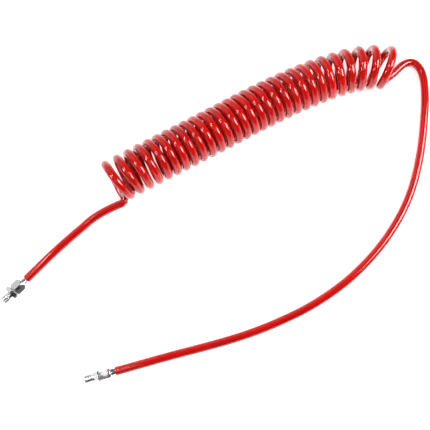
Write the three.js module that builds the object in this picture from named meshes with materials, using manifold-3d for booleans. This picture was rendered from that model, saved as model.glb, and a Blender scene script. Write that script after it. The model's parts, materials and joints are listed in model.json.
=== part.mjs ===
// Coiled air hose: a heat-formed polyurethane hose whose close-wound coil runs out into a long and
// a short straight tail. Each tail is pushed over the barb of a nickel-plated brass swivel fitting,
// whose threaded body turns freely on the stem's spindle.
// Millimetres, +Z up. The hose lies on the plane z = 0, with its footprint round x = y = 0.

import * as THREE from "three";
import { mergeVertices } from "three/addons/utils/BufferGeometryUtils.js";
import Module from "manifold-3d";

const wasm = await Module();
wasm.setup();

// ---- Driving dimensions ----

const HOSE_OUTER = 8;
const HOSE_BORE = 5;
const HOSE_SIDES = 12;
const TAIL_STEP = 10; // along a tail, between two sections

const COIL_MEAN_RADIUS = 18.3; // coil's axis to the hose's centreline
const COIL_HEIGHT = COIL_MEAN_RADIUS + HOSE_OUTER / 2; // the coil rests on its lowest turns
const COIL_SIDES = 36;
const COIL_STEPS = 24;

const STEM_FLATS = 12; // hexagons, across flats
const BODY_FLATS = 13;
const STEM_HEX_ANGLE = 0.15; // as the hexagons lie, turned about the fitting's axis
const BODY_HEX_ANGLE = 0.3;
const THREAD_OUTER = 9.73; // G 1/8 parallel pipe thread
const AIRWAY = 2.6;
const RUNNING_GAP = 0.15; // radial, between the spindle and the body that turns on it
const FACE_GAP = 0.2; // between two pieces that face each other
const TURNED_SIDES = 24;

// Distances along a fitting, from the hose's end face out to the thread's end.
const BARB_LENGTH = 14;
const BARB_TEETH = 3;
const NECK_END = 4.9;
const STEM_HEX_END = 14.7;
const WASHER_THICKNESS = 0.5;
const BODY_START = STEM_HEX_END + WASHER_THICKNESS + 2 * FACE_GAP;
const BODY_HEX_END = BODY_START + 4.2;
const THREAD_START = BODY_HEX_END + 2.1; // the groove under the hexagon takes a bonded seal
const BODY_END = BODY_HEX_END + 9.2;
const SEAL_AT = 18.6;
const SHOULDER_AT = 25.2; // where the body's bore opens out for the retaining ring
const RING_THICKNESS = 0.6;
const RING_GROOVE_WIDTH = 0.8;
const SPINDLE_END = 27.4;

// Radii on a fitting.
const BARB_TIP = 1.75;
const BARB_TOP = 2.15;
const NECK_SMALL = 3.3;
const NECK_LARGE = 4.4;
const WASHER_OUTER = 4.8;
const SPINDLE = 2.75;
const SEAL_GROOVE = 1.8;
const RING_GROOVE = 2.2;
const COUNTERBORE = 3.55;
const RING_OUTER = 3.3;
const THREAD_RELIEF = 4.15;
const STEM_CHAMFER = 5.2; // where the stem's chamfer meets the neck's side of its hexagon
const HEX_CHAMFER = 5.9; // where the other chamfers meet the hexagons' end faces

// ---- Where the hose lies ----

// The coil's axis, seen from above, with about four turns from each point to the next.
const COIL_AXIS = [
  [-105.7, 22.8],
  [-63.3, 45.4],
  [-30.1, 62.9],
  [2.5, 80.5],
  [34.7, 97.5],
  [69.3, 114.5],
  [107.0, 129.6],
  [153.7, 137.7],
  [165.6, 136.5],
];

// The tails' centrelines, from the coil out to the fitting. Both lie on the plane and rise at
// their ends to the height of a fitting that rests on the corners of its hexagons.
const LONG_TAIL = [
  [169.9, 139.3, 4.0],
  [174.9, 144.2, 4.0],
  [181.6, 149.3, 4.0],
  [189.2, 150.3, 4.0],
  [195.5, 144.5, 4.0],
  [198.7, 134.5, 4.0],
  [199.5, 117.9, 4.0],
  [197.3, 90.9, 4.0],
  [192.7, 60.9, 4.0],
  [188.4, 42.4, 4.0],
  [181.9, 21.7, 4.0],
  [173.2, 2.3, 4.0],
  [162.4, -15.9, 4.0],
  [149.8, -33.0, 4.0],
  [135.1, -49.3, 4.0],
  [115.1, -67.4, 4.0],
  [95.3, -81.5, 4.0],
  [75.7, -93.0, 4.0],
  [56.6, -102.1, 4.0],
  [37.4, -110.1, 4.0],
  [18.2, -116.9, 4.0],
  [-0.7, -122.6, 4.0],
  [-19.7, -127.7, 4.0],
  [-38.1, -132.4, 4.4],
  [-58.1, -137.7, 5.9],
  [-78.8, -143.4, 7.0],
  [-88.5, -146.1, 7.0],
  [-97.7, -148.6, 7.0],
];

const SHORT_TAIL = [
  [-99.1, 6.8, 4.0],
  [-108.4, 2.4, 4.0],
  [-117.1, -2.5, 4.0],
  [-124.6, -7.6, 4.0],
  [-133.8, -15.9, 4.2],
  [-143.0, -24.3, 5.0],
  [-152.4, -33.4, 6.3],
  [-161.2, -42.2, 7.3],
  [-169.3, -50.5, 7.6],
  [-176.3, -57.7, 7.6],
  [-183.0, -64.5, 7.6],
];

// ---- Finishes ----

function hosePlastic() {
  return new THREE.MeshStandardMaterial({ color: 0xc8140a, roughness: 0.18, metalness: 0 });
}

function nickelPlate() {
  return new THREE.MeshStandardMaterial({ color: 0xc8c6c1, roughness: 0.2, metalness: 1 });
}

function springSteel() {
  return new THREE.MeshStandardMaterial({ color: 0x5e6064, roughness: 0.35, metalness: 1 });
}

function washerPlastic() {
  return new THREE.MeshStandardMaterial({ color: 0xe9e7df, roughness: 0.5, metalness: 0 });
}

function nitrile() {
  return new THREE.MeshStandardMaterial({ color: 0x17181a, roughness: 0.6, metalness: 0 });
}

// ---- Solids ----

function solidOf(geometry) {
  const bare = geometry.clone();
  bare.deleteAttribute("normal");
  bare.deleteAttribute("uv");
  const merged = mergeVertices(bare, 1e-4);
  const vertProperties = merged.getAttribute("position").array;
  const triVerts = new Uint32Array(merged.index.array);
  return new wasm.Manifold(new wasm.Mesh({ numProp: 3, vertProperties, triVerts }));
}

function geometryOf(solid) {
  const mesh = solid.getMesh();
  const geometry = new THREE.BufferGeometry();
  geometry.setAttribute("position", new THREE.BufferAttribute(mesh.vertProperties, 3));
  geometry.setIndex(new THREE.BufferAttribute(mesh.triVerts, 1));
  geometry.computeVertexNormals();
  return geometry;
}

// A piece turned on a lathe about +Z. The profile is a closed loop of [distance along, radius]
// that runs up the outside and back down the bore.
function turned(profile) {
  const points = [...profile, profile[0]].map(([along, radius]) => new THREE.Vector2(radius, along));
  return new THREE.LatheGeometry(points, TURNED_SIDES).rotateX(Math.PI / 2);
}

// A turned piece whose widest stretch is milled to a hexagon, turned by angle about the axis.
function turnedAndMilled(profile, flats, angle) {
  const corner = flats / Math.sqrt(3);
  const reach = 4 * (BARB_LENGTH + BODY_END);
  const bar = new THREE.CylinderGeometry(corner, corner, reach, 6).rotateX(Math.PI / 2).rotateZ(angle);
  return geometryOf(solidOf(turned(profile)).intersect(solidOf(bar)));
}

// The regular polygon that stands for a circle, as a closed outline.
function roundOutline(radius, sides) {
  return Array.from({ length: sides }, (_, i) => {
    const angle = (2 * Math.PI * (i + 0.5)) / sides;
    return new THREE.Vector2(radius * Math.cos(angle), radius * Math.sin(angle));
  });
}

// A pipe of round section along a curve, open at both ends.
function pipe(path, outer, bore, sides, steps) {
  const section = new THREE.Shape(roundOutline(outer / 2, sides));
  section.holes.push(new THREE.Path(roundOutline(bore / 2, sides)));
  return new THREE.ExtrudeGeometry(section, { steps, extrudePath: path, bevelEnabled: false });
}

// ---- The hose ----

function curveThrough(points) {
  return new THREE.CatmullRomCurve3(points.map((point) => new THREE.Vector3(...point)));
}

function tail(route) {
  const path = curveThrough(route);
  const steps = Math.round(path.getLength() / TAIL_STEP);
  return pipe(path, HOSE_OUTER, HOSE_BORE, HOSE_SIDES, steps);
}

// The close-wound turns as one thick pipe that bends with the coil's axis.
function coilEnvelope() {
  const path = curveThrough(COIL_AXIS.map(([x, y]) => [x, y, COIL_HEIGHT]));
  const outer = 2 * COIL_MEAN_RADIUS + HOSE_OUTER;
  const bore = 2 * COIL_MEAN_RADIUS - HOSE_OUTER;
  return pipe(path, outer, bore, COIL_SIDES, COIL_STEPS);
}

// ---- A swivel fitting, standing on the hose's end face with its thread up ----

// One stem: a toothed barb inside the hose, a conical neck, a hexagon, and a grooved spindle.
function stem() {
  const toothLength = BARB_LENGTH / BARB_TEETH;
  const teeth = [];
  for (let i = 0; i < BARB_TEETH; i++) {
    const start = -BARB_LENGTH + i * toothLength;
    teeth.push([start, BARB_TIP], [start + 0.8 * toothLength, BARB_TOP]);
    teeth.push([start + 0.85 * toothLength, BARB_TIP]);
  }
  const neckChamfer = 1.4;
  const chamfer = 0.8;
  const corner = STEM_FLATS / Math.sqrt(3);
  const sealHalf = 0.65;
  const ringLow = SHOULDER_AT + FACE_GAP - (RING_GROOVE_WIDTH - RING_THICKNESS) / 2;
  const ringHigh = ringLow + RING_GROOVE_WIDTH;
  const tipChamfer = 0.4;
  const profile = [
    ...teeth,
    [FACE_GAP, BARB_TIP],
    [FACE_GAP, NECK_SMALL],
    [NECK_END, NECK_LARGE],
    [NECK_END, STEM_CHAMFER],
    [NECK_END + neckChamfer, corner],
    [STEM_HEX_END - chamfer, corner],
    [STEM_HEX_END, HEX_CHAMFER],
    [STEM_HEX_END, SPINDLE],
    [SEAL_AT - sealHalf, SPINDLE],
    [SEAL_AT - sealHalf, SEAL_GROOVE],
    [SEAL_AT + sealHalf, SEAL_GROOVE],
    [SEAL_AT + sealHalf, SPINDLE],
    [ringLow, SPINDLE],
    [ringLow, RING_GROOVE],
    [ringHigh, RING_GROOVE],
    [ringHigh, SPINDLE],
    [SPINDLE_END - tipChamfer, SPINDLE],
    [SPINDLE_END, SPINDLE - tipChamfer],
    [SPINDLE_END, AIRWAY / 2],
    [-BARB_LENGTH, AIRWAY / 2],
  ];
  return turnedAndMilled(profile, STEM_FLATS, STEM_HEX_ANGLE);
}

// The threaded body: a short hexagon and a parallel thread, bored to turn on the spindle.
function threadedBody() {
  const chamfer = 0.7;
  const corner = BODY_FLATS / Math.sqrt(3);
  const bore = SPINDLE + RUNNING_GAP;
  const thread = THREAD_OUTER / 2;
  const lead = 0.7;
  const profile = [
    [BODY_START, HEX_CHAMFER],
    [BODY_START + chamfer, corner],
    [BODY_HEX_END - chamfer, corner],
    [BODY_HEX_END, HEX_CHAMFER],
    [BODY_HEX_END, THREAD_RELIEF],
    [THREAD_START, THREAD_RELIEF],
    [THREAD_START + chamfer, thread],
    [BODY_END - lead, thread],
    [BODY_END, thread - lead],
    [BODY_END, COUNTERBORE],
    [SHOULDER_AT, COUNTERBORE],
    [SHOULDER_AT, bore],
    [BODY_START, bore],
  ];
  return turnedAndMilled(profile, BODY_FLATS, BODY_HEX_ANGLE);
}

// The seal in the spindle's first groove, just clear of the groove's floor and of the bore.
function sealRing() {
  const bore = SPINDLE + RUNNING_GAP;
  const clearance = 0.05;
  const section = (bore - SEAL_GROOVE) / 2 - clearance;
  const middle = (bore + SEAL_GROOVE) / 2;
  return new THREE.TorusGeometry(middle, section, 8, TURNED_SIDES).translate(0, 0, SEAL_AT);
}

// The sprung ring, open on one side, that keeps the body on the spindle.
function retainingRing() {
  const mouth = 0.35; // half of the opening, as an angle
  const clearance = 0.06;
  const ring = new THREE.Shape();
  ring.absarc(0, 0, RING_OUTER, mouth, 2 * Math.PI - mouth, false);
  ring.absarc(0, 0, RING_GROOVE + clearance, 2 * Math.PI - mouth, mouth, true);
  const options = { depth: RING_THICKNESS, bevelEnabled: false, curveSegments: TURNED_SIDES / 2 };
  return new THREE.ExtrudeGeometry(ring, options).translate(0, 0, SHOULDER_AT + FACE_GAP);
}

function thrustWasher() {
  const low = STEM_HEX_END + FACE_GAP;
  const high = low + WASHER_THICKNESS;
  const inner = SPINDLE + RUNNING_GAP;
  return turned([
    [low, WASHER_OUTER],
    [high, WASHER_OUTER],
    [high, inner],
    [low, inner],
  ]);
}

// ---- The assembly ----

const airHose = new THREE.Group();

function addPiece(group, name, geometry, material) {
  const piece = new THREE.Mesh(geometry, material);
  piece.name = name;
  group.add(piece);
}

// A fitting on the end of a tail, in line with the tail's last straight stretch.
function addFitting(name, route) {
  const end = new THREE.Vector3(...route[route.length - 1]);
  const before = new THREE.Vector3(...route[route.length - 2]);
  const outward = end.clone().sub(before).normalize();
  const fitting = new THREE.Group();
  fitting.position.copy(end);
  fitting.quaternion.setFromUnitVectors(new THREE.Vector3(0, 0, 1), outward);
  addPiece(fitting, name + "_stem", stem(), nickelPlate());
  addPiece(fitting, name + "_thrust_washer", thrustWasher(), washerPlastic());
  addPiece(fitting, name + "_seal_ring", sealRing(), nitrile());
  addPiece(fitting, name + "_retaining_ring", retainingRing(), springSteel());
  addPiece(fitting, name + "_threaded_body", threadedBody(), nickelPlate());
  airHose.add(fitting);
}

addPiece(airHose, "hose_coil", coilEnvelope(), hosePlastic());
addPiece(airHose, "hose_long_tail", tail(LONG_TAIL), hosePlastic());
addPiece(airHose, "hose_short_tail", tail(SHORT_TAIL), hosePlastic());
addFitting("long_end", LONG_TAIL);
addFitting("short_end", SHORT_TAIL);

export default airHose;
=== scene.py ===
"""Coiled air hose: a heat-formed polyurethane hose with a swivel fitting on each of its tails."""

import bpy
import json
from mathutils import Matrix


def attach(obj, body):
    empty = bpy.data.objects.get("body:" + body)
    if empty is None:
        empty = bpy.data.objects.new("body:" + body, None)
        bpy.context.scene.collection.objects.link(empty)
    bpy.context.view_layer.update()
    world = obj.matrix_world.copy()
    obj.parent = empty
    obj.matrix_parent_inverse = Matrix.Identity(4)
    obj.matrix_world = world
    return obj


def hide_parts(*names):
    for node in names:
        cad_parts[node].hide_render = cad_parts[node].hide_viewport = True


bl_info = {
    "name": "Coiled air hose",
    "version": (1, 0, 0),
    "blender": (4, 5, 0),
    "location": "3D View > Sidebar > Air hose",
    "description": "Builds a coiled air hose with its swivel fittings, and a stage to show it on",
    "category": "Object",
}

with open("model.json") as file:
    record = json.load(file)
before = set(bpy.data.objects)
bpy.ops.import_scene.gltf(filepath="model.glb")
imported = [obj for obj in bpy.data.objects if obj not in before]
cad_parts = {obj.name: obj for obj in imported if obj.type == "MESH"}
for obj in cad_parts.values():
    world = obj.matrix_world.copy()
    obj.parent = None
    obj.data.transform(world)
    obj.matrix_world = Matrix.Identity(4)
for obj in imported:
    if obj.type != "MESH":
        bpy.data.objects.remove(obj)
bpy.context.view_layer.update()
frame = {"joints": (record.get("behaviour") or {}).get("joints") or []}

import json
import math

import bpy
from mathutils import Matrix, Vector

MM = 0.001
WELD = 0.001 * MM
SWIVELS = {joint["name"]: joint for joint in frame["joints"]}
HOSE_BODY = "hose"
ENDS = ("long_end", "short_end")

# ---- Where the hose lies, in metres ----

# The coil, at some of its turns: the turn, its axis seen from above, how far the turns there are
# yawed from square to the axis in degrees, and how far their tops lean forward along it.
COIL_TURNS = (
    (-1, -0.1108, 0.0198, 2.1, -0.0039),
    (0, -0.1004, 0.0256, 1.6, -0.0024),
    (2, -0.0811, 0.0360, 0.8, 0.0006),
    (4, -0.0634, 0.0454, 0.5, 0.0021),
    (8, -0.0301, 0.0629, 0.6, 0.0028),
    (12, 0.0028, 0.0805, 0.9, 0.0028),
    (16, 0.0346, 0.0975, 0.4, 0.0025),
    (20, 0.0693, 0.1145, -2.4, 0.0012),
    (24, 0.1070, 0.1297, -8.9, -0.0004),
    (26, 0.1287, 0.1360, -12.9, -0.0002),
    (28, 0.1537, 0.1377, -16.5, 0.0011),
    (29, 0.1677, 0.1354, -18.1, 0.0022),
)

# The hose's centreline from the coil's last turn out to the long end's fitting.
LONG_TAIL = (
    (0.1595, 0.1300, 0.0062),
    (0.1645, 0.1348, 0.0042),
    (0.1699, 0.1393, 0.0040),
    (0.1749, 0.1442, 0.0040),
    (0.1816, 0.1493, 0.0040),
    (0.1892, 0.1503, 0.0040),
    (0.1955, 0.1445, 0.0040),
    (0.1987, 0.1345, 0.0040),
    (0.1995, 0.1179, 0.0040),
    (0.1973, 0.0909, 0.0040),
    (0.1927, 0.0609, 0.0040),
    (0.1884, 0.0424, 0.0040),
    (0.1819, 0.0217, 0.0040),
    (0.1732, 0.0023, 0.0040),
    (0.1624, -0.0159, 0.0040),
    (0.1498, -0.0330, 0.0040),
    (0.1351, -0.0493, 0.0040),
    (0.1151, -0.0674, 0.0040),
    (0.0953, -0.0815, 0.0040),
    (0.0757, -0.0930, 0.0040),
    (0.0566, -0.1021, 0.0040),
    (0.0374, -0.1101, 0.0040),
    (0.0182, -0.1169, 0.0040),
    (-0.0007, -0.1226, 0.0040),
    (-0.0197, -0.1277, 0.0040),
    (-0.0381, -0.1324, 0.0044),
    (-0.0581, -0.1377, 0.0059),
    (-0.0788, -0.1434, 0.0070),
    (-0.0885, -0.1461, 0.0070),
    (-0.0977, -0.1486, 0.0070),
)

# The hose's centreline from under the coil's first turn out to the short end's fitting.
SHORT_TAIL = (
    (-0.0975, 0.0195, 0.0040),
    (-0.0944, 0.0146, 0.0040),
    (-0.0938, 0.0108, 0.0040),
    (-0.0958, 0.0082, 0.0040),
    (-0.0991, 0.0068, 0.0040),
    (-0.1084, 0.0024, 0.0040),
    (-0.1171, -0.0025, 0.0040),
    (-0.1246, -0.0076, 0.0040),
    (-0.1338, -0.0159, 0.0042),
    (-0.1430, -0.0243, 0.0050),
    (-0.1524, -0.0334, 0.0063),
    (-0.1612, -0.0422, 0.0073),
    (-0.1693, -0.0505, 0.0076),
    (-0.1763, -0.0577, 0.0076),
    (-0.1830, -0.0645, 0.0076),
)

# ---- A fitting's sizes, in millimetres, along it from the hose's end face ----

NECK_END = 4.9
STEM_HEX_END = 14.7
WASHER_LOW = 14.9
WASHER_HIGH = 15.4
BODY_START = 15.6
BODY_HEX_END = 19.8
THREAD_START = 21.9
BODY_END = 29.0
SEAL_AT = 18.6
SHOULDER = 25.2
RING_LOW = 25.4
RING_HIGH = 26.0
SPINDLE_END = 27.4
BARB_LENGTH = 14.0
BARB_TEETH = 3
BORE_DEPTH = 15.0  # how deep the hose is opened for the barb

# Radii on a fitting, in millimetres.
BARB_LOW, BARB_HIGH = 1.75, 2.15
NECK_SMALL, NECK_LARGE = 3.3, 4.4
SPINDLE = 2.75
AIRWAY = 1.3
SEAL_GROOVE = 1.8
RING_GROOVE = 2.2
RING_OUTER = 3.3
BODY_BORE = 2.9
COUNTERBORE = 3.55
THREAD_RELIEF = 4.15
HEX_BACK_LOW, HEX_BACK_HIGH = 5.5, 5.85
HEX_CHAMFER = 5.9
WASHER_OUTER = 4.8
STEM_HEX_ANGLE = 0.15
BODY_HEX_ANGLE = 0.3


# ---- What a user would change ----


class HoseSettings(bpy.types.PropertyGroup):
    outer: bpy.props.FloatProperty(
        name="Outer diameter",
        description="Outer diameter of the hose",
        default=8 * MM,
        unit="LENGTH",
    )
    bore: bpy.props.FloatProperty(
        name="Bore", description="Inner diameter of the hose", default=5 * MM, unit="LENGTH"
    )
    length: bpy.props.FloatProperty(
        name="Length",
        description="Whole length of the hose, coil and both tails",
        default=3.99,
        unit="LENGTH",
    )
    coil_radius: bpy.props.FloatProperty(
        name="Coil radius",
        description="From the coil's axis to the hose's centreline",
        default=18.3 * MM,
        unit="LENGTH",
    )
    first_turn: bpy.props.FloatProperty(
        name="First turn", description="Where the coil takes over from the short tail", default=-0.25
    )
    last_turn: bpy.props.FloatProperty(
        name="Last turn", description="Where the long tail takes over from the coil", default=28.6
    )
    step: bpy.props.FloatProperty(
        name="Step",
        description="Distance between two rings of the hose's surface",
        default=3 * MM,
        unit="LENGTH",
    )
    colour: bpy.props.FloatVectorProperty(
        name="Hose colour",
        description="Colour of the polyurethane",
        default=(0.57, 0.002, 0.0006),
        subtype="COLOR",
        min=0.0,
        max=1.0,
    )


class FittingSettings(bpy.types.PropertyGroup):
    stem_flats: bpy.props.FloatProperty(
        name="Stem across flats",
        description="Width of the stem's hexagon between opposite flats",
        default=12 * MM,
        unit="LENGTH",
    )
    body_flats: bpy.props.FloatProperty(
        name="Body across flats",
        description="Width of the threaded body's hexagon between opposite flats",
        default=13 * MM,
        unit="LENGTH",
    )
    thread: bpy.props.FloatProperty(
        name="Thread diameter",
        description="Outer diameter of the male pipe thread",
        default=9.73 * MM,
        unit="LENGTH",
    )
    pitch: bpy.props.FloatProperty(
        name="Thread pitch",
        description="Distance between two crests of the thread",
        default=0.907 * MM,
        unit="LENGTH",
    )
    plating: bpy.props.FloatVectorProperty(
        name="Plating colour",
        description="Colour of the nickel plating",
        default=(0.85, 0.855, 0.87),
        subtype="COLOR",
        min=0.0,
        max=1.0,
    )


class StageSettings(bpy.types.PropertyGroup):
    elevation: bpy.props.FloatProperty(
        name="Camera elevation",
        description="Angle of the camera above the floor",
        default=math.radians(80),
        subtype="ANGLE",
    )
    distance: bpy.props.FloatProperty(
        name="Camera distance",
        description="From the camera to the point that it looks at",
        default=0.672,
        unit="LENGTH",
    )
    floor: bpy.props.FloatVectorProperty(
        name="Floor colour",
        description="Colour of the floor",
        default=(0.86, 0.86, 0.86),
        subtype="COLOR",
        min=0.0,
        max=1.0,
    )
    floor_glow: bpy.props.FloatProperty(
        name="Floor glow",
        description="Light that comes up through the floor, as on a light table",
        default=0.66,
        min=0.0,
    )


# ---- Making and shaping meshes ----


def deselect():
    bpy.ops.object.select_all(action="DESELECT")


def pick(piece):
    deselect()
    bpy.context.view_layer.objects.active = piece
    piece.select_set(True)


def edit(piece, elements="VERT"):
    pick(piece)
    bpy.ops.object.mode_set(mode="EDIT")
    bpy.ops.mesh.select_mode(type=elements)


def leave():
    bpy.ops.object.mode_set(mode="OBJECT")


def apply_modifiers(piece):
    pick(piece)
    for modifier in list(piece.modifiers):
        bpy.ops.object.modifier_apply(modifier=modifier.name)


def turn(name, outline, steps):
    """A piece turned about +Z from a closed outline of (distance along, radius) in millimetres."""
    deselect()
    bpy.ops.mesh.primitive_plane_add(size=MM)
    piece = bpy.context.object
    piece.name = name
    edit(piece)
    bpy.ops.mesh.select_all(action="SELECT")
    bpy.ops.mesh.merge(type="CENTER")
    along, radius = outline[0]
    bpy.ops.transform.translate(value=(radius * MM, 0, along * MM))
    for here, there in zip(outline, outline[1:] + outline[:1]):
        move = ((there[1] - here[1]) * MM, 0, (there[0] - here[0]) * MM)
        bpy.ops.mesh.extrude_region_move(TRANSFORM_OT_translate={"value": move})
    bpy.ops.mesh.select_all(action="SELECT")
    bpy.ops.mesh.remove_doubles(threshold=WELD)
    bpy.ops.mesh.select_all(action="SELECT")
    bpy.ops.mesh.spin(steps=steps, angle=math.tau, center=(0, 0, 0), axis=(0, 0, 1))
    weld(piece)
    return piece


def weld(piece):
    """Merges a closed shape's doubled points and turns its faces outwards."""
    if piece.mode != "EDIT":
        edit(piece)
    bpy.ops.mesh.select_all(action="SELECT")
    bpy.ops.mesh.remove_doubles(threshold=WELD)
    bpy.ops.mesh.normals_make_consistent(inside=False)
    leave()


def mill_hexagon(piece, flats, angle):
    """Cuts everything wider than a hexagonal bar off a turned piece."""
    deselect()
    corner = flats / math.sqrt(3)
    bpy.ops.mesh.primitive_cylinder_add(
        vertices=6, radius=corner, depth=100 * MM, rotation=(0, 0, angle)
    )
    bar = bpy.context.object
    cut = piece.modifiers.new("milling", "BOOLEAN")
    cut.operation = "INTERSECT"
    cut.solver = "EXACT"
    cut.object = bar
    apply_modifiers(piece)
    bpy.data.objects.remove(bar)


def break_edges(piece, width, angle=35):
    """Rounds a piece's sharp edges."""
    bevel = piece.modifiers.new("broken edges", "BEVEL")
    bevel.width = width
    bevel.segments = 2
    bevel.limit_method = "ANGLE"
    bevel.angle_limit = math.radians(angle)
    bevel.use_clamp_overlap = True
    apply_modifiers(piece)


def smooth(piece, angle=32):
    pick(piece)
    bpy.ops.object.shade_smooth_by_angle(angle=math.radians(angle))


def put_on_end(piece, end):
    """Takes a piece from +Z at the origin to its fitting, and keeps its own place as an attribute."""
    mesh = piece.data
    place = mesh.attributes.new("own_place", "FLOAT_VECTOR", "POINT")
    place.data.foreach_set("vector", [value for vertex in mesh.vertices for value in vertex.co])
    joint = SWIVELS[end + "_swivel"]
    outward = Vector(joint["axis"])
    upright = Vector((0, 0, 1)).rotation_difference(outward)
    piece.matrix_world = Matrix.Translation(joint["pos_m"]) @ upright.to_matrix().to_4x4()
    pick(piece)
    bpy.ops.object.transform_apply(location=True, rotation=True, scale=True)


def finish_piece(piece, node, body, material):
    """Gives a piece its finish and its body, and hides the CAD node that it stands for."""
    piece.data.materials.clear()
    piece.data.materials.append(material)
    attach(piece, body)
    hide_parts(node)


# ---- Shaders ----


class Wire:
    """A shader node's output. Arithmetic on it adds Math nodes."""

    def __init__(self, nodes, socket):
        self.nodes = nodes
        self.socket = socket

    def maths(self, operation, *values):
        return self.nodes.node("ShaderNodeMath", {"operation": operation}, dict(enumerate(values)))

    def __add__(self, other):
        return self.maths("ADD", self, other)

    def __radd__(self, other):
        return self.maths("ADD", other, self)

    def __sub__(self, other):
        return self.maths("SUBTRACT", self, other)

    def __rsub__(self, other):
        return self.maths("SUBTRACT", other, self)

    def __mul__(self, other):
        return self.maths("MULTIPLY", self, other)

    def __rmul__(self, other):
        return self.maths("MULTIPLY", other, self)

    def __truediv__(self, other):
        return self.maths("DIVIDE", self, other)

    def __pow__(self, other):
        return self.maths("POWER", self, other)

    def between(self, low, high):
        """0 below low, 1 above high, and a smooth step from one to the other."""
        settings = {"interpolation_type": "SMOOTHSTEP"}
        values = {"Value": self, "From Min": low, "From Max": high}
        return self.nodes.node("ShaderNodeMapRange", settings, values, "Result")


class Nodes:
    """The nodes of a material or of the world."""

    def __init__(self, tree):
        self.tree = tree

    def node(self, kind, settings, values, output=0):
        made = self.tree.nodes.new(kind)
        for key, value in settings.items():
            setattr(made, key, value)
        for key, value in values.items():
            if isinstance(value, Wire):
                self.tree.links.new(value.socket, made.inputs[key])
            else:
                made.inputs[key].default_value = value
        return Wire(self, made.outputs[output])

    def sine(self, angle):
        return self.node("ShaderNodeMath", {"operation": "SINE"}, {0: angle})

    def noise(self, place, scale, detail=2.0, roughness=0.5):
        values = {"Vector": place, "Scale": scale, "Detail": detail, "Roughness": roughness}
        return self.node("ShaderNodeTexNoise", {}, values, "Fac")

    def split(self, vector):
        parts = self.node("ShaderNodeSeparateXYZ", {}, {0: vector}).socket.node
        return [Wire(self, output) for output in parts.outputs]

    def facing(self, way, towards):
        """The cosine of the angle between a direction and another."""
        values = {0: way, 1: Vector(towards).normalized()}
        return self.node("ShaderNodeVectorMath", {"operation": "DOT_PRODUCT"}, values, "Value")

    def stretched(self, place, scale):
        return self.node("ShaderNodeMapping", {}, {"Vector": place, "Scale": scale}, "Vector")

    def mixed(self, factor, low, high):
        """A colour between two colours."""
        made = self.tree.nodes.new("ShaderNodeMix")
        made.data_type = "RGBA"
        self.tree.links.new(factor.socket, made.inputs["Factor"])
        for key, value in (("A", low), ("B", high)):
            socket = [i for i in made.inputs if i.name == key and i.type == "RGBA"][0]
            if isinstance(value, Wire):
                self.tree.links.new(value.socket, socket)
            else:
                socket.default_value = (*value, 1.0)
        return Wire(self, [o for o in made.outputs if o.type == "RGBA"][0])

    def bump(self, height, strength, distance):
        values = {"Height": height, "Strength": strength, "Distance": distance}
        return self.node("ShaderNodeBump", {}, values, "Normal")


class Finish(Nodes):
    """A material with one Principled shader, and the nodes that feed it."""

    def __init__(self, name, constants):
        self.material = bpy.data.materials.new(name)
        self.material.use_nodes = True
        super().__init__(self.material.node_tree)
        self.shader = self.tree.nodes["Principled BSDF"]
        for socket, value in constants.items():
            self.shader.inputs[socket].default_value = value

    def feed(self, socket, wire):
        self.tree.links.new(wire.socket, self.shader.inputs[socket])


def hose_finish(colour):
    """Glossy, slightly milky polyurethane with faint lines along the hose from its die."""
    finish = Finish(
        "hose_plastic",
        {
            "IOR": 1.5,
            "Subsurface Weight": 0.3,
            "Subsurface Radius": (1.0, 0.12, 0.08),
            "Subsurface Scale": 2.5 * MM,
            "Coat Weight": 0.4,
            "Coat Roughness": 0.04,
        },
    )
    along = finish.node("ShaderNodeUVMap", {"uv_map": "UVMap"}, {}, "UV")
    place = finish.node("ShaderNodeTexCoord", {}, {}, "Object")
    die_lines = finish.noise(finish.stretched(along, (1.0, 60.0, 1.0)), 3.0, 3.0)
    cloud = finish.noise(place, 45.0, 3.0)
    ripple = finish.noise(place, 160.0, 1.0)
    scuff = finish.noise(place, 900.0, 4.0, 0.7)
    deep = [0.82 * channel for channel in colour]
    finish.feed("Base Color", finish.mixed(cloud.between(0.35, 0.65), deep, colour))
    finish.feed("Roughness", 0.06 + 0.05 * scuff.between(0.45, 0.8) + 0.02 * cloud)
    height = 0.12 * ripple + 0.10 * die_lines + 0.03 * scuff
    finish.feed("Normal", finish.bump(height, 0.12, 0.4 * MM))
    return finish.material


def plating_finish(colour):
    """Bright nickel over turned and milled brass, rubbed dull along the hexagons' corners."""
    finish = Finish("nickel_plate", {"Metallic": 1.0})
    own = finish.node("ShaderNodeAttribute", {"attribute_name": "own_place"}, {}, "Vector")
    across, up, along = finish.split(own)
    radius = (across * across + up * up) ** 0.5
    turned = 1 - radius.between(5.75 * MM, 5.95 * MM)
    rings = turned * finish.sine((radius + along) * (math.tau / (0.23 * MM)))
    corner = radius.between(6.2 * MM, 6.9 * MM)
    smear = finish.noise(own, 700.0, 4.0, 0.65)
    worn = corner * smear.between(0.35, 0.7)
    dull = [0.8 * channel for channel in colour]
    finish.feed("Base Color", finish.mixed(smear.between(0.3, 0.8) * 0.6 + worn * 0.4, colour, dull))
    finish.feed("Roughness", 0.13 + 0.09 * smear + 0.15 * worn)
    finish.feed("Normal", finish.bump(0.25 * rings + smear, 0.12, 0.03 * MM))
    return finish.material


def steel_finish():
    """Dark spring steel with a brushed grain."""
    finish = Finish("spring_steel", {"Metallic": 1.0})
    own = finish.node("ShaderNodeAttribute", {"attribute_name": "own_place"}, {}, "Vector")
    grain = finish.noise(finish.stretched(own, (900.0, 900.0, 9000.0)), 1.0, 3.0)
    finish.feed("Base Color", finish.mixed(grain, (0.20, 0.21, 0.23), (0.36, 0.37, 0.39)))
    finish.feed("Roughness", 0.28 + 0.2 * grain)
    finish.feed("Normal", finish.bump(grain, 0.2, 0.02 * MM))
    return finish.material


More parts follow.
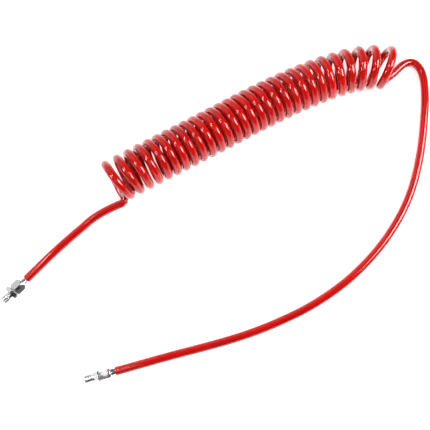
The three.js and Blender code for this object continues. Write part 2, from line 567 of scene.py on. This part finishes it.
def washer_finish():
    """Pale acetal, turned, with a faint spiral from the tool."""
    finish = Finish("washer_plastic", {"IOR": 1.48, "Subsurface Weight": 0.2, "Subsurface Scale": MM})
    own = finish.node("ShaderNodeAttribute", {"attribute_name": "own_place"}, {}, "Vector")
    mottle = finish.noise(own, 500.0, 3.0)
    finish.feed("Base Color", finish.mixed(mottle, (0.74, 0.73, 0.69), (0.84, 0.83, 0.79)))
    finish.feed("Roughness", 0.34 + 0.14 * mottle)
    finish.feed("Normal", finish.bump(mottle, 0.2, 0.03 * MM))
    return finish.material


def rubber_finish():
    """Black nitrile with a fine moulded grain."""
    finish = Finish("nitrile", {"IOR": 1.5})
    own = finish.node("ShaderNodeAttribute", {"attribute_name": "own_place"}, {}, "Vector")
    grain = finish.noise(own, 4000.0, 3.0)
    finish.feed("Base Color", finish.mixed(grain, (0.012, 0.012, 0.013), (0.030, 0.031, 0.033)))
    finish.feed("Roughness", 0.45 + 0.2 * grain)
    finish.feed("Normal", finish.bump(grain, 0.3, 0.02 * MM))
    return finish.material


# ---- The hose's centreline ----


def slope(rows, i):
    """How fast a table's columns change at a row, for each unit of its first column."""
    before, here, after = rows[max(i - 1, 0)], rows[i], rows[min(i + 1, len(rows) - 1)]
    if i in (0, len(rows) - 1):
        return [(b - a) / (after[0] - before[0]) for a, b in zip(before, after)]
    low, high = here[0] - before[0], after[0] - here[0]
    slopes = []
    for a, b, c in zip(before, here, after):
        slopes.append(((b - a) / low * high + (c - b) / high * low) / (low + high))
    return slopes


def blended(rows, place):
    """The smooth curve through a table's rows, at a value of its first column."""
    i = max(0, min(len(rows) - 2, sum(row[0] <= place for row in rows) - 1))
    span = rows[i + 1][0] - rows[i][0]
    t = (place - rows[i][0]) / span
    columns = zip(rows[i], rows[i + 1], slope(rows, i), slope(rows, i + 1))
    return [hermite(a, b, p * span, q * span, t) for a, b, p, q in columns][1:]


def coil_point(turn_number, settings):
    """The hose's centreline at a turn of the coil. At whole turns the hose is on the coil's far
    side, level with its axis, and goes over the top from there."""
    x, y, yaw, lean = blended(COIL_TURNS, turn_number)
    nudge = 0.05
    x0, y0 = blended(COIL_TURNS, turn_number - nudge)[:2]
    x1, y1 = blended(COIL_TURNS, turn_number + nudge)[:2]
    heading = math.atan2(y1 - y0, x1 - x0) + math.radians(yaw)
    forward = Vector((math.cos(heading), math.sin(heading), 0))
    left = Vector((-math.sin(heading), math.cos(heading), 0))
    phase = math.tau * turn_number
    radius = settings.coil_radius
    height = settings.outer / 2 + radius + radius * math.sin(phase)
    sideways = left * (radius * math.cos(phase)) + forward * (lean * math.sin(phase))
    return Vector((x, y, height)) + sideways


def hose_route(settings):
    """Points down the middle of the hose, from the short end to the long end."""
    points_per_turn = 48
    first = round(settings.first_turn * points_per_turn)
    last = round(settings.last_turn * points_per_turn)
    coil = [coil_point(i / points_per_turn, settings) for i in range(first, last + 1)]
    rough = [Vector(p) for p in reversed(SHORT_TAIL)] + coil + [Vector(p) for p in LONG_TAIL]
    return evenly(rough, settings.step)


def evenly(rough, step):
    """The smooth curve through the points, cut into equal steps. Where the points are far apart
    the curve between them is filled in first."""
    fine = []
    for i, point in enumerate(rough[:-1]):
        pieces = max(1, round((rough[i + 1] - point).length / (0.5 * MM)))
        tangent_in = tangent(rough, i)
        tangent_out = tangent(rough, i + 1)
        span = (rough[i + 1] - point).length
        for k in range(pieces):
            fine.append(hermite(point, rough[i + 1], tangent_in * span, tangent_out * span, k / pieces))
    fine.append(rough[-1])
    total = sum((b - a).length for a, b in zip(fine, fine[1:]))
    spacing = total / round(total / step)
    even, walked, target = [fine[0]], 0.0, spacing
    for a, b in zip(fine, fine[1:]):
        length = (b - a).length
        while walked + length >= target - 1e-9 and len(even) < round(total / spacing):
            even.append(a.lerp(b, (target - walked) / length))
            target += spacing
        walked += length
    even.append(fine[-1])
    return even


def tangent(points, i):
    """The direction of the curve at a point, as a circle through it and its neighbours has it."""
    if i == 0:
        return (points[1] - points[0]).normalized()
    if i == len(points) - 1:
        return (points[-1] - points[-2]).normalized()
    before, after = points[i] - points[i - 1], points[i + 1] - points[i]
    slope = before / before.length**2 + after / after.length**2
    return slope.normalized()


def hermite(a, b, slope_a, slope_b, t):
    """A value part of the way from one to another, on the curve that has both slopes."""
    s = 1 - t
    between = a * (s * s * (1 + 2 * t)) + b * (t * t * (3 - 2 * t))
    return between + slope_a * (s * s * t) - slope_b * (s * t * t)


# ---- Operators ----

CAMERA_TARGET = (-7.1, -2.5, 0)  # millimetres
LENS_TO_WIDTH = 70 / 43  # the lens's focal length over the picture's width


class AIRHOSE_OT_camera(bpy.types.Operator):
    """Adds the camera"""

    bl_idname = "airhose.camera"
    bl_label = "Camera"

    def execute(self, context):
        stage = context.scene.airhose_stage
        target = Vector(CAMERA_TARGET) * MM
        back = Vector((0, -math.cos(stage.elevation), math.sin(stage.elevation)))
        deselect()
        bpy.ops.object.camera_add(location=target + back * stage.distance)
        camera = context.object
        camera.name = "camera"
        camera.rotation_mode = "QUATERNION"
        camera.rotation_quaternion = (-back).to_track_quat("-Z", "Y")
        camera.data.sensor_width = 36
        camera.data.lens = camera.data.sensor_width * LENS_TO_WIDTH
        camera.data.clip_start = 0.01
        camera.data.clip_end = 20
        context.scene.camera = camera
        return {"FINISHED"}


class AIRHOSE_OT_hose(bpy.types.Operator):
    """Makes the hose: short tail, coil and long tail in one length"""

    bl_idname = "airhose.hose"
    bl_label = "Hose"

    def execute(self, context):
        settings = context.scene.airhose_hose
        route = hose_route(settings)
        curve = bpy.data.curves.new("hose", "CURVE")
        curve.dimensions = "3D"
        curve.bevel_depth = settings.outer / 2
        curve.bevel_resolution = 12
        curve.use_fill_caps = True
        spline = curve.splines.new("POLY")
        spline.points.add(len(route) - 1)
        for point, place in zip(spline.points, route):
            point.co = (*place, 1)
        hose = bpy.data.objects.new("hose", curve)
        context.scene.collection.objects.link(hose)
        deselect()
        pick(hose)
        bpy.ops.object.convert(target="MESH")
        hose = context.object
        bore_ends(hose, route, settings)
        smooth(hose, 50)
        finish_piece(hose, "hose_coil", HOSE_BODY, hose_finish(settings.colour))
        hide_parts("hose_coil", "hose_long_tail", "hose_short_tail")
        hose["route"] = [value for point in route for value in point]
        return {"FINISHED"}


def bore_ends(hose, route, settings):
    """Opens the hose's bore at both cut ends, as deep as the barbs go."""
    edit(hose)
    bpy.ops.mesh.select_all(action="SELECT")
    bpy.ops.mesh.remove_doubles(threshold=0.005 * MM)
    leave()
    for end, inward in ((route[0], route[1] - route[0]), (route[-1], route[-2] - route[-1])):
        inward = inward.normalized()
        for part in (hose.data.vertices, hose.data.edges):
            for item in part:
                item.select = False
        for face in hose.data.polygons:
            near = (face.center - end).length < settings.outer / 2
            face.select = near and face.normal.dot(inward) < -0.9
        edit(hose, "FACE")
        wall = (settings.outer - settings.bore) / 2
        bpy.ops.mesh.inset(thickness=wall, use_boundary=True)
        depth = inward * (BORE_DEPTH * MM)
        bpy.ops.mesh.extrude_region_move(TRANSFORM_OT_translate={"value": tuple(depth)})
        leave()


def stem_outline(corner):
    """Barb, neck, hexagon and spindle. A turned corner just wider than the hexagon is milled off."""
    tooth = BARB_LENGTH / BARB_TEETH
    outline = []
    for i in range(BARB_TEETH):
        start = i * tooth - BARB_LENGTH
        outline += [(start, BARB_LOW), (start + 0.80 * tooth, BARB_HIGH), (start + 0.85 * tooth, BARB_LOW)]
    outline += [(0.1, BARB_LOW), (0.1, NECK_SMALL - 0.2), (0.3, NECK_SMALL)]
    outline += [(NECK_END - 0.7, NECK_LARGE - 0.25), (NECK_END - 0.5, NECK_LARGE)]
    outline += [(NECK_END - 0.5, HEX_BACK_LOW), (NECK_END - 0.3, HEX_BACK_HIGH)]
    outline += [(NECK_END + 1.9, corner)]
    outline += [(STEM_HEX_END - 0.8, corner), (STEM_HEX_END, HEX_CHAMFER), (STEM_HEX_END, SPINDLE)]
    grooves = (
        (SEAL_AT - 0.65, SEAL_AT + 0.65, SEAL_GROOVE),
        (RING_LOW - 0.1, RING_HIGH + 0.1, RING_GROOVE),
    )
    for low, high, floor in grooves:
        outline += [(low, SPINDLE), (low, floor), (high, floor), (high, SPINDLE)]
    outline += [(SPINDLE_END - 0.4, SPINDLE), (SPINDLE_END, SPINDLE - 0.4)]
    outline += [(SPINDLE_END, AIRWAY + 0.2), (SPINDLE_END - 0.2, AIRWAY), (-BARB_LENGTH, AIRWAY)]
    return outline


class AIRHOSE_OT_stems(bpy.types.Operator):
    """Makes both fittings' stems: barb, neck, hexagon and spindle"""

    bl_idname = "airhose.stems"
    bl_label = "Stems"

    def execute(self, context):
        settings = context.scene.airhose_fitting
        material = plating_finish(settings.plating)
        outline = stem_outline(settings.stem_flats / math.sqrt(3) / MM + 0.02)
        for end in ENDS:
            stem = turn(end + "_stem_turned", outline, 96)
            mill_hexagon(stem, settings.stem_flats, STEM_HEX_ANGLE)
            break_edges(stem, 0.10 * MM)
            smooth(stem)
            put_on_end(stem, end)
            finish_piece(stem, end + "_stem", HOSE_BODY, material)
        return {"FINISHED"}


def body_outline(corner, crest):
    """Hexagon, relief groove and blank for the thread outside; bore and counterbore inside."""
    samples = 90
    length = BODY_END - THREAD_START
    outline = [(BODY_START, HEX_CHAMFER), (BODY_START + 0.7, corner), (BODY_HEX_END - 0.7, corner)]
    outline += [(BODY_HEX_END, HEX_CHAMFER), (BODY_HEX_END, THREAD_RELIEF + 0.15)]
    outline += [(BODY_HEX_END + 0.15, THREAD_RELIEF), (THREAD_START - 0.1, THREAD_RELIEF)]
    outline += [(THREAD_START + length * i / samples, crest) for i in range(samples + 1)]
    outline += [(BODY_END, COUNTERBORE + 0.15), (BODY_END - 0.15, COUNTERBORE), (SHOULDER, COUNTERBORE)]
    outline += [(SHOULDER, BODY_BORE), (BODY_START + 0.2, BODY_BORE), (BODY_START, BODY_BORE + 0.2)]
    return outline


class AIRHOSE_OT_threaded_bodies(bpy.types.Operator):
    """Makes both fittings' threaded bodies, which turn on the stems"""

    bl_idname = "airhose.threaded_bodies"
    bl_label = "Threaded bodies"

    def execute(self, context):
        settings = context.scene.airhose_fitting
        outline = body_outline(settings.body_flats / math.sqrt(3) / MM + 0.02, settings.thread / MM / 2)
        material = bpy.data.objects[ENDS[0] + "_stem_turned"].active_material
        for end in ENDS:
            body = turn(end + "_threaded_body_turned", outline, 96)
            cut_thread(body, settings)
            mill_hexagon(body, settings.body_flats, BODY_HEX_ANGLE)
            smooth(body, 40)
            put_on_end(body, end)
            node = end + "_threaded_body"
            finish_piece(body, node, node, material)
        return {"FINISHED"}


def cut_thread(body, settings):
    """Sinks a right-handed thread into the turned blank, with a chamfer at each of its ends."""
    low, high, crest = THREAD_START * MM, BODY_END * MM, settings.thread / 2
    depth = 0.64 * settings.pitch
    crest_width = 0.12
    for vertex in body.data.vertices:
        x, y, z = vertex.co
        radius = math.hypot(x, y)
        if abs(radius - crest) > 0.01 * MM or not low - WELD <= z <= high + WELD:
            continue
        wave = (z / settings.pitch - math.atan2(y, x) / math.tau) % 1.0
        flank = (abs(2 * wave - 1) - crest_width) / (1 - 2 * crest_width)
        groove = crest - depth * (1 - min(max(flank, 0.0), 1.0))
        start = crest - depth + (z - low)
        end = crest - 0.75 * MM + (high - z)
        scale = min(groove, start, end) / radius
        vertex.co = (x * scale, y * scale, z)


class AIRHOSE_OT_rings(bpy.types.Operator):
    """Makes the thrust washers, the seal rings and the retaining rings"""

    bl_idname = "airhose.rings"
    bl_label = "Washers and rings"

    def execute(self, context):
        edge = 0.1
        washer = [(WASHER_LOW, WASHER_OUTER - edge), (WASHER_LOW + edge, WASHER_OUTER)]
        washer += [(WASHER_HIGH - edge, WASHER_OUTER), (WASHER_HIGH, WASHER_OUTER - edge)]
        washer += [(WASHER_HIGH, BODY_BORE), (WASHER_LOW, BODY_BORE)]
        section = (BODY_BORE - SEAL_GROOVE) / 2 - 0.05
        middle = (BODY_BORE + SEAL_GROOVE) / 2
        turns = [math.tau * i / 20 for i in range(20)]
        seal = [(SEAL_AT + section * math.sin(a), middle + section * math.cos(a)) for a in turns]
        makers = (
            ("thrust_washer", washer, "washer_plastic", washer_finish()),
            ("seal_ring", seal, "nitrile", rubber_finish()),
        )
        steel = steel_finish()
        for end in ENDS:
            for name, outline, slot, material in makers:
                ring = turn(f"{end}_{name}_turned", outline, 72)
                smooth(ring)
                put_on_end(ring, end)
                finish_piece(ring, f"{end}_{name}", HOSE_BODY, material)
            ring = retaining_ring(end + "_retaining_ring_sprung")
            put_on_end(ring, end)
            finish_piece(ring, end + "_retaining_ring", HOSE_BODY, steel)
        return {"FINISHED"}


def retaining_ring(name):
    """A flat sprung ring, open on one side, with its section swept round from mouth to mouth."""
    mouth = 0.35
    inner = RING_GROOVE + 0.06
    middle = (inner + RING_OUTER) / 2
    deselect()
    bpy.ops.mesh.primitive_plane_add(size=MM, rotation=(math.pi / 2, 0, 0))
    ring = bpy.context.object
    ring.name = name
    bpy.ops.object.transform_apply(location=True, rotation=True, scale=True)
    edit(ring)
    bpy.ops.mesh.select_all(action="SELECT")
    bpy.ops.transform.resize(value=(RING_OUTER - inner, 1, RING_HIGH - RING_LOW))
    bpy.ops.transform.translate(value=(middle * MM, 0, (RING_LOW + RING_HIGH) / 2 * MM))
    leave()
    ring.rotation_euler = (0, 0, mouth)
    bpy.ops.object.transform_apply(location=True, rotation=True, scale=True)
    edit(ring)
    bpy.ops.mesh.select_all(action="SELECT")
    bpy.ops.mesh.spin(steps=64, angle=math.tau - 2 * mouth, center=(0, 0, 0), axis=(0, 0, 1))
    weld(ring)
    break_edges(ring, 0.08 * MM, 60)
    smooth(ring)
    return ring


class AIRHOSE_OT_declare_cord(bpy.types.Operator):
    """Takes the stored route of its centreline off the hose"""

    bl_idname = "airhose.declare_cord"
    bl_label = "Hose as a cord"

    def execute(self, context):
        hose = bpy.data.objects["hose"]
        del hose["route"]
        return {"FINISHED"}


class AIRHOSE_OT_stage(bpy.types.Operator):
    """Adds the floor and the studio lights"""

    bl_idname = "airhose.stage"
    bl_label = "Stage"

    def execute(self, context):
        settings = context.scene.airhose_stage
        deselect()
        bpy.ops.mesh.primitive_plane_add(size=8)
        floor = context.object
        floor.name = "floor"
        paper = Finish("floor_paper", {"Roughness": 0.9, "Base Color": (*settings.floor, 1.0)})
        paper.shader.inputs["Emission Color"].default_value = (1.0, 1.0, 1.0, 1.0)
        paper.shader.inputs["Emission Strength"].default_value = settings.floor_glow
        floor.data.materials.append(paper.material)
        context.scene.world = studio_world()
        context.scene.view_settings.view_transform = "Standard"
        for softbox in SOFTBOXES:
            add_softbox(*softbox)
        return {"FINISHED"}


# Each softbox: its name, the way to it, how far it is, its width in metres and its power in watts.
SOFTBOXES = (
    ("key softbox", (0.66, 0.07, 0.73), 1.1, 0.58, 12.5),
    ("left softbox", (-0.79, -0.18, 0.59), 1.2, 0.24, 3.4),
    ("top left softbox", (-0.39, 0.17, 0.91), 1.2, 0.20, 2.2),
    ("front card", (-0.19, -0.31, 0.93), 1.24, 0.40, 0.60),
    ("top card", (-0.25, -0.10, 0.96), 1.24, 0.22, 0.13),
)


# What the fittings mirror of the room: the ways to a bright wall and to a dark screen.
BRIGHT_WALL = (-0.62, 0.62, 0.42)
DARK_SCREEN = (0.37, -0.57, 0.73)


def studio_world():
    """A room that is bright round the horizon and dim above, with a bright wall at the back on the
    left and a dark screen opposite it."""
    world = bpy.data.worlds.new("studio")
    world.use_nodes = True
    room = Nodes(world.node_tree)
    way = room.node("ShaderNodeTexCoord", {}, {}, "Generated")
    height = room.split(way)[2]
    light = 1.0 - 0.87 * height.between(0.02, 0.2)
    light = light + 0.55 * room.facing(way, BRIGHT_WALL).between(0.75, 0.93)
    light = light * (1.0 - 0.95 * room.facing(way, DARK_SCREEN).between(0.95, 0.985))
    background = room.tree.nodes["Background"]
    background.inputs["Color"].default_value = (1.0, 1.0, 1.0, 1.0)
    room.tree.links.new(light.socket, background.inputs["Strength"])
    return world


def add_softbox(name, direction, distance, size, power):
    """A square area light that faces the middle of the hose."""
    place = Vector(direction).normalized() * distance
    deselect()
    bpy.ops.object.light_add(type="AREA", location=place)
    light = bpy.context.object
    light.name = name
    light.data.size = size
    light.data.energy = power
    light.rotation_mode = "QUATERNION"
    light.rotation_quaternion = (-place).to_track_quat("-Z", "Y")


class AIRHOSE_PT_panel(bpy.types.Panel):
    """Settings and steps of the coiled air hose"""

    bl_idname = "AIRHOSE_PT_panel"
    bl_label = "Coiled air hose"
    bl_space_type = "VIEW_3D"
    bl_region_type = "UI"
    bl_category = "Air hose"

    def draw(self, context):
        for group in (context.scene.airhose_hose, context.scene.airhose_fitting, context.scene.airhose_stage):
            box = self.layout.box()
            for name in group.__annotations__:
                box.prop(group, name)
        for operator in OPERATORS:
            self.layout.operator(operator.bl_idname)


OPERATORS = (
    AIRHOSE_OT_camera,
    AIRHOSE_OT_hose,
    AIRHOSE_OT_stems,
    AIRHOSE_OT_threaded_bodies,
    AIRHOSE_OT_rings,
    AIRHOSE_OT_declare_cord,
    AIRHOSE_OT_stage,
)
CLASSES = (HoseSettings, FittingSettings, StageSettings, *OPERATORS, AIRHOSE_PT_panel)


def register():
    for cls in CLASSES:
        bpy.utils.register_class(cls)
    bpy.types.Scene.airhose_hose = bpy.props.PointerProperty(type=HoseSettings)
    bpy.types.Scene.airhose_fitting = bpy.props.PointerProperty(type=FittingSettings)
    bpy.types.Scene.airhose_stage = bpy.props.PointerProperty(type=StageSettings)


def unregister():
    del bpy.types.Scene.airhose_stage
    del bpy.types.Scene.airhose_fitting
    del bpy.types.Scene.airhose_hose
    for cls in reversed(CLASSES):
        bpy.utils.unregister_class(cls)


def main():
    register()
    for operator in OPERATORS:
        namespace, name = operator.bl_idname.split(".")
        getattr(getattr(bpy.ops, namespace), name)()


if __name__ == "__main__":
    main()
